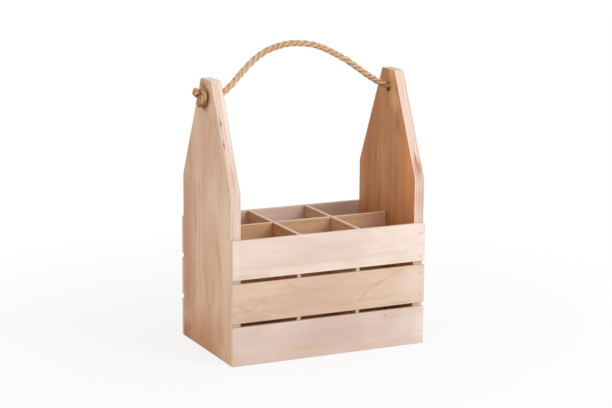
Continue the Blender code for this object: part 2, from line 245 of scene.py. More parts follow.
def knot_route(side):
    """The knot's route outside one panel, from its hole outwards; side is -1 for the left panel."""
    start = Vector((side * (HALF_LENGTH + KNOT_START_GAP), 0, HOLE_Z))
    return [
        Vector((side * out, side * front, up)) * KNOT_SPACING + start
        for out, front, up in KNOT_ROUTE + KNOT_TAILS[side]
    ]


def rope_route():
    free = [Vector((along, 0, up + HOLE_Z)) for along, up in ROPE_ROUTE]
    held = [Vector((side * PANEL_CENTRE_X, 0, HOLE_Z + HOLE_LIFT)) for side in (-1, 1)]
    return [held[0]] + free + [held[1]]


def even_steps(points, spacing):
    """The same line with points at even steps, as an array."""
    spots = np.array([tuple(point) for point in points])
    run = np.concatenate([[0], np.cumsum(np.linalg.norm(np.diff(spots, axis=0), axis=1))])
    wanted = np.linspace(0, run[-1], int(run[-1] / spacing) + 1)
    return np.stack([np.interp(wanted, run, spots[:, axis]) for axis in range(3)], axis=1)


def carried_frames(line):
    """Tangent, normal and second normal at each point, turned no more than the line turns."""
    tangents = np.gradient(line, axis=0)
    tangents /= np.linalg.norm(tangents, axis=1)[:, None]
    normals = np.zeros_like(line)
    normal = np.cross(tangents[0], (0.0, 1.0, 0.0))
    for place, tangent in enumerate(tangents):
        normal = normal - tangent * normal.dot(tangent)
        normal /= np.linalg.norm(normal)
        normals[place] = normal
    return tangents, normals, np.cross(tangents, normals)


def ramp(values, start, stop):
    """From 0 at start to 1 at stop, which may be the lower of the two."""
    return np.clip((values - start) / (stop - start), 0, 1)


def eased(share):
    return share * share * (3 - 2 * share)


def waves(run, *terms):
    """Uneven waves along the rope: each term is a height, the radians to the metre and a start."""
    return sum(height * np.sin(run * pace + start) for height, pace, start in terms)


def strand_rings(line, frames, diameters, squeezed, run, number):
    """Rings of one of the three strands that wind round the line. Where they are squeezed they close up."""
    _, normals, seconds = frames
    angle = 2 * math.pi * (number / 3 - run / ROPE_LAY) + waves(run, (0.3, 97, 1), (0.22, 223, 0))
    cosine, sine = np.cos(angle)[:, None], np.sin(angle)[:, None]
    outward = cosine * normals + sine * seconds
    sideways = cosine * seconds - sine * normals
    (loose, tight), (far, close) = STRAND_RADIUS, STRAND_OFFSET
    radius = diameters * (loose + (tight - loose) * squeezed)
    centre = line + outward * (diameters * (far + (close - far) * squeezed))[:, None]
    bulk = 1 + waves(run, (0.035, 310, number * 2.1), (0.025, 730, number))
    rings = []
    for side in range(STRAND_SIDES):
        around = 2 * math.pi * side / STRAND_SIDES
        lobes = 1 + YARN_RELIEF * np.cos(YARNS * (around + 2 * math.pi * run / (YARN_TURN * YARNS)))
        offset = math.cos(around) * outward + math.sin(around) * STRAND_WIDTH * sideways
        rings.append(centre + offset * (radius * lobes * bulk)[:, None])
    return np.stack(rings, axis=1)


def add_fibre(shape, layer, spots, thickness, uv):
    """A tapered fibre, three-sided, through a few points."""
    ahead = (spots[-1] - spots[0]).normalized()
    aside = ahead.orthogonal().normalized()
    across = ahead.cross(aside)
    turns = [2 * math.pi * side / 3 for side in range(3)]
    rings = []
    for place, spot in enumerate(spots):
        width = thickness * (1 - FIBRE_TAPER * place / (len(spots) - 1))
        offsets = [(aside * math.cos(turn) + across * math.sin(turn)) * width for turn in turns]
        rings.append([shape.verts.new(spot + offset) for offset in offsets])
    faces = [shape.faces.new(reversed(rings[0])), shape.faces.new(rings[-1])]
    for low, high in zip(rings, rings[1:]):
        for side in range(3):
            other = (side + 1) % 3
            faces.append(shape.faces.new((low[side], low[other], high[other], high[side])))
    for face in faces:
        for loop in face.loops:
            loop[layer].uv = uv


def add_hairs(shape, layer, line, frames, diameters, count, draws):
    """Loose fibres that stand off the rope."""
    tangents, normals, seconds = frames
    for _ in range(count):
        place = draws.randrange(4, len(line) - 4)
        middle = Vector(line[place])
        angle = draws.uniform(0, 2 * math.pi)
        outward = Vector(math.cos(angle) * normals[place] + math.sin(angle) * seconds[place])
        along = Vector(tangents[place]) * draws.choice((-1, 1))
        sideways = outward.cross(along)
        root = middle + outward * diameters[place] * HAIR_ROOT
        reach = draws.uniform(*HAIR_LENGTHS)
        lift = draws.uniform(0.25, 0.75)
        curl = draws.uniform(-0.5, 0.5)
        spots = []
        for share in (0, 0.25, 0.5, 0.75, 1):
            bend = outward * lift * share ** 1.4 + sideways * curl * share ** 2
            spot = root + (along * share + bend) * reach
            if (spot - middle).length < diameters[place] / 2 + HAIR_HEIGHT:
                spots.append(spot)
        if len(spots) > 2:
            add_fibre(shape, layer, spots, draws.uniform(*HAIR_THICKNESSES), (place * ROPE_STEP, 1))


def add_fray(shape, layer, ring, ahead, draws):
    """Cut fibres that stand out of a strand's free end."""
    middle = sum((Vector(spot) for spot in ring), Vector()) / STRAND_SIDES
    for _ in range(FRAY_FIBRES):
        rim = Vector(ring[draws.randrange(STRAND_SIDES)])
        root = middle.lerp(rim, draws.uniform(0, 0.95) ** 0.5)
        spread = (root - middle) * draws.uniform(0, 90)
        spread += Vector([draws.uniform(-0.15, 0.15) for _ in range(3)])
        aim = (ahead + spread).normalized()
        reach = draws.uniform(*FRAY_LENGTHS)
        spots = [root + aim * reach * share for share in (-0.3, 0.4, 1)]
        thickness = draws.uniform(*FRAY_THICKNESSES)
        add_fibre(shape, layer, spots, thickness, (draws.uniform(0, 0.1), draws.uniform(0.9, 1.1)))


def rope_mesh(name, line, frames, diameters, squeezed, run, hairs, loose_end, draws):
    """loose_end is 0 or -1 where the line's first or last point is a cut end of the rope."""
    shape = bmesh.new()
    layer = shape.loops.layers.uv.new("fibres")
    ends = ((0, Vector(line[0] - line[1]).normalized()), (-1, Vector(line[-1] - line[-2]).normalized()))
    cut_rings = []
    for number in range(3):
        rings = strand_rings(line, frames, diameters, squeezed, run, number)
        verts = [[shape.verts.new(spot) for spot in ring] for ring in rings]
        for place, (near, far) in enumerate(zip(verts, verts[1:])):
            for side in range(STRAND_SIDES):
                ahead = (side + 1) % STRAND_SIDES
                face = shape.faces.new((near[side], near[ahead], far[ahead], far[side]))
                spots = ((place, side), (place, side + 1), (place + 1, side + 1), (place + 1, side))
                for loop, (step, turn) in zip(face.loops, spots):
                    loop[layer].uv = (run[step], number + turn / STRAND_SIDES)
        for end, outward in ends:
            middle = sum((vert.co for vert in verts[end]), Vector()) / STRAND_SIDES
            tip = shape.verts.new(middle + outward * TIP_BULGE)
            for side in range(STRAND_SIDES):
                shape.faces.new((verts[end][side], verts[end][(side + 1) % STRAND_SIDES], tip))
            if end == loose_end:
                cut_rings.append((rings[end], outward))
    bmesh.ops.recalc_face_normals(shape, faces=shape.faces)
    for ring, outward in cut_rings:
        add_fray(shape, layer, ring, outward, draws)
    add_hairs(shape, layer, line, frames, diameters, hairs, draws)
    mesh = mesh_of(shape, name)
    mesh.shade_smooth()
    return mesh


def build_rope(material):
    """The rope and its two knots follow one line, so that their strands run on from one to the next."""
    mouths = [Vector((side * HALF_LENGTH, 0, HOLE_Z)) for side in (-1, 1)]
    middle = [mouths[0]] + fine_curve(rope_route()) + [mouths[1]]
    route = fine_curve(knot_route(-1))[::-1] + middle + fine_curve(knot_route(1))
    line = even_steps(route, ROPE_STEP)
    for _ in range(ROPE_SMOOTHING):
        line[1:-1] = (line[:-2] + 2 * line[1:-1] + line[2:]) / 4
    run = np.arange(len(line)) * ROPE_STEP
    frames = carried_frames(line)
    outside = np.abs(line[:, 0]) - HALF_LENGTH
    inner = np.nonzero(outside < ROPE_END_OUT)[0]
    first, last = inner[0], inner[-1]
    beyond = np.maximum(run[first] - run, run - run[last])
    plugged = eased(ramp(outside, *PLUG_START) * ramp(beyond, *PLUG_END))
    collar = ramp(beyond, *COLLAR_START) * ramp(beyond, *COLLAR_END)
    diameters = ROPE_DIAMETER + (KNOT_DIAMETER - ROPE_DIAMETER) * eased(ramp(outside, *KNOT_SPAN))
    diameters += (TAIL_DIAMETER - KNOT_DIAMETER) * ramp(run, TAIL_FLARE, 0) ** 0.6
    diameters += (PLUGGED_DIAMETER - ROPE_DIAMETER) * plugged
    diameters += (COLLAR_DIAMETER - PLUGGED_DIAMETER) * collar
    draws = random.Random(11)
    for name, start, stop, hairs, loose_end in (
        ("knot_left", 0, first + 2, 60, 0),
        ("rope", first, last + 1, 170, None),
        ("knot_right", last - 1, len(line), 60, -1),
    ):
        part = slice(start, stop)
        section = tuple(axes[part] for axes in frames)
        mesh = rope_mesh(
            name, line[part], section, diameters[part], plugged[part], run[part], hairs, loose_end, draws
        )
        mesh.materials.append(material)
        piece = add_object(name, mesh)
        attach(piece, "handle")
    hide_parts("rope_handle")
    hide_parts("rope_knot_left")
    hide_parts("rope_knot_right")


def rounded_outline(corners):
    """Points along an outline of (across, up, radius) corners, whose corners are turned into arcs."""
    points = []
    for place, (across, up, radius) in enumerate(corners):
        here = Vector((across, up))
        back = (Vector(corners[place - 1][:2]) - here).normalized()
        ahead = (Vector(corners[(place + 1) % len(corners)][:2]) - here).normalized()
        half_angle = back.angle(ahead) / 2
        centre = here + (back + ahead).normalized() * (radius / math.sin(half_angle))
        from_centre = here + back * (radius / math.tan(half_angle)) - centre
        turn = math.pi - 2 * half_angle
        if back.x * ahead.y - back.y * ahead.x > 0:
            turn = -turn
        for step in range(ARC_STEPS + 1):
            points.append(tuple(centre + Matrix.Rotation(turn * step / ARC_STEPS, 2) @ from_centre))
    return points


def plate(name, outline, thickness, axis, centre):
    """A flat board round centre. axis is the one across its thickness; outline runs over the other two."""
    shape = bmesh.new()
    others = [number for number in range(3) if number != axis]
    corners = []
    for first, second in outline:
        corner = Vector(centre)
        corner[axis] -= thickness / 2
        corner[others[0]] += first
        corner[others[1]] += second
        corners.append(shape.verts.new(corner))
    swept = bmesh.ops.extrude_face_region(shape, geom=[shape.faces.new(corners)])
    lift = Vector((0, 0, 0))
    lift[axis] = thickness
    moved = [item for item in swept["geom"] if isinstance(item, bmesh.types.BMVert)]
    bmesh.ops.translate(shape, vec=lift, verts=moved)
    bmesh.ops.recalc_face_normals(shape, faces=shape.faces)
    return add_object(name, mesh_of(shape, name))


def turned(shape, profile, sides, placing, material_index=0):
    """Adds a closed turned solid to a bmesh: profile holds (radius, height) from one end to the other."""
    rings = []
    faces = []
    for radius, height in profile:
        ring = []
        for side in range(sides if radius else 1):
            angle = 2 * math.pi * side / sides
            spot = Vector((radius * math.cos(angle), radius * math.sin(angle), height))
            ring.append(shape.verts.new(placing @ spot))
        rings.append(ring)
    for low, high in zip(rings, rings[1:]):
        for side in range(sides):
            loop = [low[turn % len(low)] for turn in (side, (side + 1) % sides)]
            loop += [high[turn % len(high)] for turn in ((side + 1) % sides, side)]
            distinct = list(dict.fromkeys(loop))
            if len(distinct) > 2:
                faces.append(shape.faces.new(distinct))
    for ring in (rings[0], rings[-1]):
        if len(ring) > 1:
            faces.append(shape.faces.new(ring))
    for face in faces:
        face.material_index = material_index


def turned_mesh(name, solids):
    """A mesh of turned solids: solids holds what each call of turned gets after the bmesh."""
    shape = bmesh.new()
    for solid in solids:
        turned(shape, *solid)
    bmesh.ops.recalc_face_normals(shape, faces=shape.faces)
    return mesh_of(shape, name)


def brad_spots():
    """Each brad's placing: its head's outer face in the middle, and its point along +Z."""
    spots = {}
    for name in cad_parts:
        if "brad" not in name:
            continue
        low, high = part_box(name)
        axis = 0 if name.startswith("board") else 1
        inward = 1 if ("left" if axis == 0 else "front") in name else -1
        head = (Vector(low) + Vector(high)) / 2
        head[axis] = (low if inward > 0 else high)[axis]
        direction = Vector((0, 0, 0))
        direction[axis] = inward
        spots[name] = Matrix.Translation(head) @ aimed(direction, "Y")
    return spots


def brad_cover(name):
    """Which filler hides a brad. At the slats' right ends it is thin, and darker for the steel below it."""
    if name.startswith("board"):
        return "panel"
    return "slat" if "left" in name else "thin"


def brad_mesh(name):
    head, shank = BRAD_HEAD_RADIUS, BRAD_SHANK_RADIUS
    nail = (
        (0, 0.0001), (head * 0.35, 0.00009), (head * 0.6, 0.00002), (head * 0.86, 0), (head, 0.0001),
        (head, 0.00042), (head * 0.8, 0.0006), (shank, 0.00085), (shank, 0.016), (shank * 0.45, 0.0174),
        (0, 0.018),
    )
    wide, face = BRAD_POCKET_RADIUS - FILLER_PLAY, -BRAD_SET_DEPTH
    plug = (
        (0, face - FILLER_LIFT), (wide * 0.7, face - FILLER_LIFT), (wide * 0.96, face + 0.00002),
        (wide, face + 0.00006), (wide, -FILLER_LIFT), (0, -FILLER_LIFT),
    )
    upright = Matrix.Identity(4)
    mesh = turned_mesh(name, [(nail, BRAD_SIDES, upright), (plug, BRAD_SIDES, upright, 1)])
    shade_round(mesh)
    return mesh


def build_brads(steel, fillers):
    meshes = {}
    for cover, filler in fillers.items():
        mesh = brad_mesh("brad_under_" + cover + "_filler")
        mesh.materials.append(steel)
        mesh.materials.append(filler)
        meshes[cover] = mesh
    draws = random.Random(5)
    for name, placing in brad_spots().items():
        brad = add_object(name + "_nail", meshes[brad_cover(name)])
        brad.matrix_world = placing @ Matrix.Rotation(draws.uniform(0, 6), 4, "Z")
        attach(brad, "box")
        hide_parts(name)


def brad_cutter():
    radius, face = BRAD_POCKET_RADIUS, -BRAD_SET_DEPTH
    pocket = (
        (radius + CUT_MARGIN, face - CUT_MARGIN), (radius + 0.00012, face + 0.00005),
        (radius, face + 0.0002), (radius, 0.0009), (BRAD_BORE_RADIUS, 0.001), (BRAD_BORE_RADIUS, 0.0183),
    )
    solids = [(pocket, BRAD_SIDES, placing) for placing in brad_spots().values()]
    return add_object("brad_pockets", turned_mesh("brad_pockets", solids))


def hole_cutter():
    """The rope holes, with rounded mouths, and the slits where an inner ply is missing."""
    face = PANEL_THICKNESS / 2
    profile = [(HOLE_RADIUS + HOLE_ROUND + CUT_MARGIN, face + CUT_MARGIN)]
    for step in range(MOUTH_STEPS + 1):
        angle = math.pi / 2 * step / MOUTH_STEPS
        wider, lower = HOLE_ROUND * (1 - math.sin(angle)), HOLE_ROUND * (1 - math.cos(angle))
        profile.append((HOLE_RADIUS + wider, face - lower))
    profile += [(radius, -height) for radius, height in reversed(profile)]
    turn = Matrix.Rotation(math.pi / 2, 4, "Y")
    middles = [Matrix.Translation((side * PANEL_CENTRE_X, 0, HOLE_Z)) for side in (-1, 1)]
    solids = [(profile, HOLE_SIDES, middle @ turn) for middle in middles]
    flatten = aimed(VOID_AIM, "X") @ Matrix.Diagonal((1, VOID_STRETCH, 1, 1))
    for half, spot in VOIDS:
        slit = [(0, -half)]
        for step in range(1, VOID_STEPS):
            share = step / VOID_STEPS
            slit.append((VOID_RADIUS * math.sin(math.pi * share) ** 0.5, half * (2 * share - 1)))
        solids.append((slit + [(0, half)], HOLE_SIDES, Matrix.Translation(spot) @ flatten))
    return add_object("holes", turned_mesh("holes", solids))


def finish_board(piece, round_width, cutters):
    """Rounds the edges, makes the cuts and smooths the shading of a board."""
    bevel = piece.modifiers.new("edges", "BEVEL")
    bevel.width = round_width
    bevel.segments = ROUND_STEPS
    bevel.limit_method = "ANGLE"
    bevel.angle_limit = ROUND_ANGLE
    for tool in cutters:
        boolean = piece.modifiers.new(tool.name, "BOOLEAN")
        boolean.operation = "DIFFERENCE"
        boolean.solver = "EXACT"
        boolean.object = tool
    graph = bpy.context.evaluated_depsgraph_get()
    mesh = bpy.data.meshes.new_from_object(piece.evaluated_get(graph))
    piece.modifiers.clear()
    piece.data = mesh
    shade_round(mesh)
    piece.modifiers.new("normals", "WEIGHTED_NORMAL").keep_sharp = True


def rectangle(length, height):
    x, y = length / 2, height / 2
    return [(-x, -y), (x, -y), (x, y), (-x, y)]


def notched(length, places, up):
    """A divider's outline round its middle, with half-depth notches from above or from below."""
    half = (GRID_TOP_Z - GRID_SEAT_Z) / 2
    foot, top = [(-length / 2, -half)], [(length / 2, half)]
    for place in places:
        before, after = place - NOTCH_WIDTH / 2, place + NOTCH_WIDTH / 2
        if up:
            top[1:1] = [(after, half), (after, -LAP_GAP), (before, -LAP_GAP), (before, half)]
        else:
            foot += [(before, -half), (before, LAP_GAP), (after, LAP_GAP), (after, -half)]
    return foot + [(length / 2, -half)] + top + [(-length / 2, half)]


def build_boards(finishes):
    brads, holes = brad_cutter(), hole_cutter()
    panel = rounded_outline(PANEL_CORNERS)
    board = rectangle(2 * (HALF_SPAN - BOARD_GAP), BOARD_WIDTH)
    slat = rectangle(2 * HALF_LENGTH, SLAT_HEIGHT)
    half_cell = CELL_PITCH / 2
    long_strip = notched(2 * (HALF_SPAN - GRID_CLEARANCE), (-half_cell, half_cell), True)
    cross_strip = notched(2 * (SLAT_BACK_Y - GRID_CLEARANCE), (0,), False)
    grid_z = (GRID_SEAT_Z + GRID_TOP_Z) / 2
    # Outline, the axis across the thickness and middle; then thickness, the edges' rounding, cutters and slot
    plywood = (PANEL_THICKNESS, PANEL_ROUND, (brads, holes), "plywood")
    floor = (BOARD_THICKNESS, THIN_ROUND, (brads,), "board_wood")
    divider = (DIVIDER_THICKNESS, THIN_ROUND, (), "divider_wood")
    boards = {
        "end_panel_left": (panel, 0, (-PANEL_CENTRE_X, 0, 0), *plywood),
        "end_panel_right": (panel, 0, (PANEL_CENTRE_X, 0, 0), *plywood),
        "bottom_board": (board, 2, (0, 0, BOARD_THICKNESS / 2), *floor),
        "long_divider": (long_strip, 1, (0, 0, grid_z), *divider),
        "cross_divider_left": (cross_strip, 0, (-half_cell, 0, grid_z), *divider),
        "cross_divider_right": (cross_strip, 0, (half_cell, 0, grid_z), *divider),
    }
    for side, face in ((-1, "front"), (1, "back")):
        for row, level in enumerate(("lower", "middle", "upper")):
            centre = (0, side * (SLAT_BACK_Y + SLAT_THICKNESS / 2), row * SLAT_PITCH + SLAT_HEIGHT / 2)
            cut = (SLAT_THICKNESS, SLAT_ROUND, (brads,), "slat_wood")
            boards[face + "_slat_" + level] = (slat, 1, centre, *cut)
    for name, (outline, axis, centre, thickness, edge, tools, slot) in boards.items():
        piece = plate(name + "_wood", outline, thickness, axis, centre)
        finish_board(piece, edge, tools)
        piece.data.materials.append(finishes[name])
        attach(piece, "divider_grid" if "divider" in name else "box")
        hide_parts(name)
    for tool in (brads, holes):
        bpy.data.objects.remove(tool, do_unlink=True)


class Nodes:
    """Short calls for the nodes of a tree."""

    def __init__(self, tree):
        self.tree = tree

    def put(self, node, inputs):
        for name, value in inputs.items():
            if isinstance(value, Value):
                self.tree.links.new(value.socket, node.inputs[name])
            else:
                node.inputs[name].default_value = value

    def add(self, kind, output, inputs=None, **settings):
        """A new node's output; inputs and outputs go by name or number."""
        node = self.tree.nodes.new(kind)
        for name, value in settings.items():
            setattr(node, name, value)
        self.put(node, inputs or {})
        return Value(self, node.outputs[output])

    def math(self, operation, first, second=0):
        return self.add("ShaderNodeMath", 0, {0: first, 1: second}, operation=operation)

    def length(self, vector):
        return self.add("ShaderNodeVectorMath", "Value", {0: vector}, operation="LENGTH")

    def combine(self, x, y, z):
        return self.add("ShaderNodeCombineXYZ", 0, {"X": x, "Y": y, "Z": z})

    def split(self, vector):
        first = self.add("ShaderNodeSeparateXYZ", 0, {0: vector})
        return [Value(self, output) for output in first.socket.node.outputs]

    def noise(self, vector, scale, detail=2, roughness=0.5, distortion=0):
        values = {"Scale": scale, "Detail": detail, "Roughness": roughness, "Distortion": distortion}
        return self.add("ShaderNodeTexNoise", "Fac", {"Vector": vector, **values})

    def mix(self, share, first, second):
        """A blend of two colours, each a Value or a screen colour."""
        first, second = [colour(*shade) if isinstance(shade, tuple) else shade for shade in (first, second)]
        inputs = {"Factor": share, "A": first, "B": second}
        return self.add("ShaderNodeMix", "Result", inputs, data_type="RGBA")


def operator(operation):
    return lambda self, other=0: self.nodes.math(operation, self, other)


class Value:
    """A node's output. Calculating with it makes math nodes."""

    def __init__(self, nodes, socket):
        self.nodes = nodes
        self.socket = socket

    __add__ = operator("ADD")
    __sub__ = operator("SUBTRACT")
    __mul__ = operator("MULTIPLY")
    __truediv__ = operator("DIVIDE")
    __mod__ = operator("MODULO")
    __abs__ = operator("ABSOLUTE")

    def spread(self, low, high, to_low=0, to_high=1, smooth=False):
        """Runs from to_low at low to to_high at high, and stays there beyond them."""
        inputs = {"Value": self, "From Min": low, "From Max": high, "To Min": to_low, "To Max": to_high}
        kind = "SMOOTHSTEP" if smooth else "LINEAR"
        return self.nodes.add("ShaderNodeMapRange", "Result", inputs, interpolation_type=kind, clamp=True)


class Finish(Nodes):
    """A material's nodes."""

    def __init__(self, name):
        self.material = bpy.data.materials.new(name)
        self.material.use_nodes = True
        super().__init__(self.material.node_tree)
        self.shader = self.tree.nodes["Principled BSDF"]

    def coordinates(self, kind):
        return self.add("ShaderNodeTexCoord", kind)

    def surface(self, base, roughness, specular=0.5, metallic=0):
        self.put(self.shader, {"Base Color": base, "Roughness": roughness})
        self.put(self.shader, {"Specular IOR Level": specular, "Metallic": metallic})

    def bump(self, height, strength, distance):
        inputs = {"Height": height, "Strength": strength, "Distance": distance}
        self.put(self.shader, {"Normal": self.add("ShaderNodeBump", "Normal", inputs)})


def colour(*levels):
    """A colour as a screen shows it, from 0 to 255, turned to the renderer's own scale."""
    scaled = [level / 255 for level in levels]
    return *[((level + 0.055) / 1.055) ** 2.4 if level > 0.04045 else level / 12.92 for level in scaled], 1


# Screen colours
PLY_PALE = (236, 213, 198)
PLY_MAIN = (224, 194, 175)
PLY_DARK = (198, 154, 132)
GLUE = (150, 104, 76)
END_PALE = (252, 232, 212)
END_GRAIN_PALE = (248, 218, 192)
END_GRAIN_DARK = (226, 186, 154)
EDGE_PALE = (240, 216, 192)
LINE_BROWN = (204, 150, 98)
STAIN = (214, 186, 112)
KNOT_BROWN = (172, 108, 64)
VOID_BROWN = (150, 102, 66)
# Each wood's pale, main and dark tones
UPPER_TONES = ((245, 228, 216), (233, 211, 197), (205, 170, 144))
MIDDLE_TONES = ((232, 208, 186), (218, 191, 166), (190, 148, 112))
LOWER_TONES = ((230, 209, 197), (217, 193, 180), (190, 156, 134))
PANEL_TONES = ((250, 218, 190), (232, 190, 156), (202, 134, 84))
# The end panels' inner faces: darker, more orange tones that paint their shade and warm reflected light
INNER_SHADE_TONES = ((226, 164, 108), (210, 144, 88), (166, 98, 50))
GRID_TONES = ((234, 196, 158), (218, 176, 136), (176, 128, 88))

# An oval lies on two of the three axes, and only on the named face if there is one. Its middle and half its
# size are in millimetres, soft is the share of it that fades out and tilt is in degrees. A line runs through
# points on a slat's front, in rising order of their place along it.
Oval = namedtuple("Oval", "axes face centre size strength shade soft tilt ragged", defaults=(0.6, 0, 0.6))
Line = namedtuple("Line", "points width strength")


def ovals(axes, face, *rows):
    return tuple(Oval(axes, face, *row) for row in rows)


MIDDLE_MARKS = (
    Line(((-119, 71.8), (-112, 67.2), (-104, 65.8), (-98, 69), (-93, 73.8), (-83, 75.2)), 1.8, 0.5),
    Line(((-91, 70), (-87, 65), (-80, 61.8), (-68, 60), (-50, 59.2)), 1.6, 0.42),
    Line(((-62, 97), (-47, 88.5), (-33, 84.1), (-20, 82.6), (-8, 83.2), (6, 86.4), (16, 90.5)), 1.6, 0.42),
    Line((
        (34, 56), (38.5, 64), (46, 70.2), (52, 76.2), (60, 79.7), (68, 83.4), (78, 87.2), (89, 92),
        (98, 98.5),
    ), 2, 0.5),
    Line(((-10, 56), (4, 59), (18, 60.2), (32, 59.2)), 1.8, 0.35),
) + ovals(
    (0, 2), None,
    # Painted shade across the middle of the slat and painted light at its right end
    ((-20, 74), (80, 26), 0.65, (204, 174, 150), 0.9),
    ((118, 78), (46, 40), 0.75, (232, 210, 197), 0.9),
    # Painted shade along the slat's bottom edge
    ((85, 55), (36, 3.4), 0.5, (196, 168, 150), 0.8),
    ((-98, 57), (24, 9), 0.45, (194, 158, 132), 0.8),
)
LOWER_MARKS = ovals(
    (0, 2), None,
    ((-126.2, 14.2), (3, 3.2), 0.95, (236, 190, 90), 0.8),
    ((-34, 13.2), (26, 2.6), 0.95, STAIN, 0.7, 2.5, 1),
    # Painted light towards the right end
    ((105, 26), (30, 30), 0.55, (229, 212, 203), 0.9),
    ((124, 24), (16, 36), 0.6, (241, 224, 216), 0.9),
    ((36, 12.5), (12, 1.3), 0.55, STAIN, 0.8, 0, 1.1),
    ((70, 14), (12, 0.9), 0.3, STAIN, 0.8, 0, 1.1),
    ((-5, 9), (14, 1.4), 0.22, STAIN, 0.8, 0, 1.1),
    ((73.5, 40.8), (8.5, 4.2), 0.35, (222, 182, 166), 0.9),
    ((74.5, 41), (3.6, 0.9), 0.55, (176, 124, 104), 0.6, 4),
    ((73, 41.1), (1.1, 0.9), 0.9, (128, 82, 68), 0.6, 0, 0.4),
    # Painted shade across the middle of the slat
    ((-10, 26), (80, 26), 0.65, (204, 180, 167), 0.9),
)
UPPER_MARKS = ovals(
    (0, 2), None,
    # The first, second and fourth ovals: painted shade across the middle of the slat and painted light at
    # both ends
    ((-10, 128), (75, 26), 0.7, (222, 199, 186), 0.9),
    ((-122, 128), (6, 30), 0.55, (240, 222, 200), 0.8),
    ((-112, 107), (22, 6), 0.45, (212, 180, 156), 0.8),
    ((110, 130), (40, 30), 0.45, (245, 229, 222), 0.9),
    ((-76, 134), (6, 1.6), 0.22, (212, 182, 158), 0.6, 20),
)
HOLE_MARKS = ovals(
    (1, 2), "edges",
    # A warm tone on the hole's wall, painted light that lifts the shade inside the hole
    ((0, 308), (6.3, 6.3), 0.95, (236, 160, 100), 0.03, 0, 0),
    # A painted shadow in the hole's lower part, under the rope
    ((0, 303.5), (5.6, 1.9), 0.75, (112, 54, 16), 0.3, 0, 0),
)
LEFT_MARKS = HOLE_MARKS + ovals(
    (1, 2), "outer face",
    # Painted shade towards the back edge and painted light towards the front edge; darker and browner towards
    # the foot
    ((55, 100), (34, 150), 0.6, (202, 148, 108), 0.9),
    ((-62, 150), (32, 130), 0.7, (254, 221, 186), 0.9),
    ((10, 5), (85, 65), 0.75, (206, 144, 94), 0.9),
    ((70, 4), (30, 28), 0.75, (176, 116, 70), 0.9),
    ((64, 60), (20, 34), 0.45, (194, 128, 86), 0.9),
    ((-45, 30), (16, 26), 0.5, (206, 142, 96), 0.9),
    ((-20, 190), (42, 60), 0.6, (252, 216, 188), 0.9),
    # Painted light beside the knot, lifting the shade that the knot casts on the face
    ((-18, 310), (19, 32), 0.8, (255, 216, 184), 0.8),
    ((-11.8, 304), (6.6, 14), 0.95, (255, 216, 180), 0.5),
    ((-6.2, 318), (10, 7.2), 0.9, (255, 208, 162)),
    # Painted shadow above, below and behind the knot
    ((6, 320.5), (8.5, 5.5), 0.75, (170, 114, 76)),
    ((5.4, 294.8), (11, 4.8), 0.7, (190, 130, 92)),
    ((0.5, 304.5), (6.4, 8.5), 0.85, (150, 84, 42), 0.25, 0, 0.3),
    ((11, 321.5), (13, 12), 0.7, (184, 132, 98), 0.8),
    # Painted shade towards the back edge
    ((80, 140), (30, 150), 0.6, (202, 140, 96), 0.9),
    ((49.1, 204.4), (1.4, 1.9), 0.65, KNOT_BROWN),
    ((-8.2, 215.5), (1.1, 1.5), 0.65, KNOT_BROWN),
    ((-64.5, 212.5), (16, 2.4), 0.6, (222, 154, 96), 0.8, 57.7),
    ((-38.9, 189.5), (2.2, 3.4), 0.55, (212, 138, 88)),
    ((-64, 157.5), (1.4, 7), 0.6, (212, 136, 78), 0.6, 3),
    ((-11, 101), (2.6, 12), 0.55, (208, 138, 86), 0.8, 4),
    ((-20, 82), (3, 13), 0.45, (210, 142, 92), 0.8, -6),
    ((-10, 54), (4.2, 8.5), 0.6, (208, 138, 80), 0.8),
    ((55, 75), (6, 20), 0.4, (206, 138, 84), 0.9),
    ((54, 16), (7.5, 7), 0.6, (178, 112, 58), 0.9),
    ((17, 12), (8, 8.5), 0.5, (192, 126, 70), 0.9),
) + ovals(
    (0, 2), "front edge",
    ((-126.6, 244), (1.7, 33), 0.55, (222, 172, 128), 0.7),
    # Painted highlight along the outer arris
    ((-127, 318), (1.3, 15), 0.75, (255, 234, 208), 0.5),
    ((-117.1, 295), (1.2, 52), 0.75, (255, 240, 222), 0.5),
    ((-121, 220), (3.4, 24), 0.6, (206, 158, 132), 0.8),
) + ovals(
    (0, 2), "edges",
    ((-121, 330.5), (12, 1), 0.6, (246, 224, 204), 0.3, 0, 0.2),
) + ovals(
    (0, 2), "front edge",
    ((-125, 270), (0.4, 28), 0.55, (176, 120, 84)),
    ((-124.8, 282.6), (0.8, 7.4), 0.95, VOID_BROWN, 0.4, 0, 0.2),
    ((-125.2, 259.4), (0.7, 7), 0.9, VOID_BROWN, 0.4, 0, 0.2),
)
